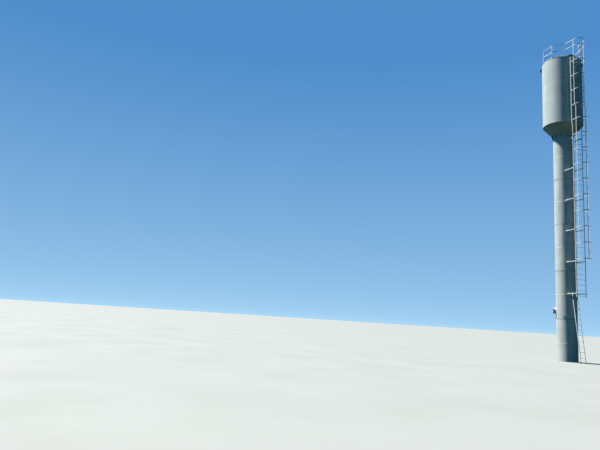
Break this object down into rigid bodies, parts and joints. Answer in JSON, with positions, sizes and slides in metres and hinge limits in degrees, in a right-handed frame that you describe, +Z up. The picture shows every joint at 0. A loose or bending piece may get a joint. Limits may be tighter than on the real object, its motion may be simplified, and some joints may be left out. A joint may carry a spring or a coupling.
{
  "type": "steel water tower",
  "caption": "Tall steel water tower: a welded plate column that widens through a cone to a round tank, with a caged ladder up one side and a railed roof.",
  "frame": {"origin": "on the tower's axis, at the flat underside of the bottom plate, level with the ground", "axes": "+Z up the tower's axis, -Y from the axis towards the fixed ladder, +X to the right of someone who faces +Y and climbs"},
  "size_m": [2.4366, 3.3853, 20.79],
  "materials": {
    "tank_enamel": "satin light grey enamel, brushed and rolled on",
    "rail_enamel": "satin pale grey enamel on rolled sections",
    "bare_steel": "dark primed steel"
  },
  "bodies": {
    "root": {"base_plate": "tank_enamel", "column_course_1": "tank_enamel", "column_course_2": "tank_enamel", "column_course_3": "tank_enamel", "column_course_4": "tank_enamel", "column_course_5": "tank_enamel", "column_course_6": "tank_enamel", "column_course_7": "tank_enamel", "column_course_8": "tank_enamel", "column_course_9": "tank_enamel", "column_course_10": "tank_enamel", "tank_cone": "tank_enamel", "tank_course_1": "tank_enamel", "tank_course_2": "tank_enamel", "tank_course_3": "tank_enamel", "tank_roof": "tank_enamel", "roof_hatch_curb": "tank_enamel", "roof_hatch_lid": "tank_enamel", "manhole_neck": "tank_enamel", "manhole_cover": "rail_enamel", "drain_socket": "bare_steel", "lifting_lug_1": "bare_steel", "lifting_lug_2": "bare_steel", "ladder_section_1": "rail_enamel", "ladder_section_2": "rail_enamel", "ladder_section_3": "rail_enamel", "ladder_arm_1_left": "rail_enamel", "ladder_arm_1_right": "rail_enamel", "ladder_arm_2_left": "rail_enamel", "ladder_arm_2_right": "rail_enamel", "ladder_arm_3_left": "rail_enamel", "ladder_arm_3_right": "rail_enamel", "ladder_arm_4_left": "rail_enamel", "ladder_arm_4_right": "rail_enamel", "ladder_arm_5_left": "rail_enamel", "ladder_arm_5_right": "rail_enamel", "ladder_arm_6_left": "rail_enamel", "ladder_arm_6_right": "rail_enamel", "ladder_arm_7_left": "rail_enamel", "ladder_arm_7_right": "rail_enamel", "ladder_arm_8_left": "rail_enamel", "ladder_arm_8_right": "rail_enamel", "cage_section_1": "rail_enamel", "cage_section_2": "rail_enamel", "cage_section_3": "rail_enamel", "railing_panel_1": "rail_enamel", "railing_panel_2": "rail_enamel", "railing_panel_3": "rail_enamel", "railing_panel_4": "rail_enamel", "access_ladder": "rail_enamel", "rest_bar": "rail_enamel"}
  },
  "joints": []
}
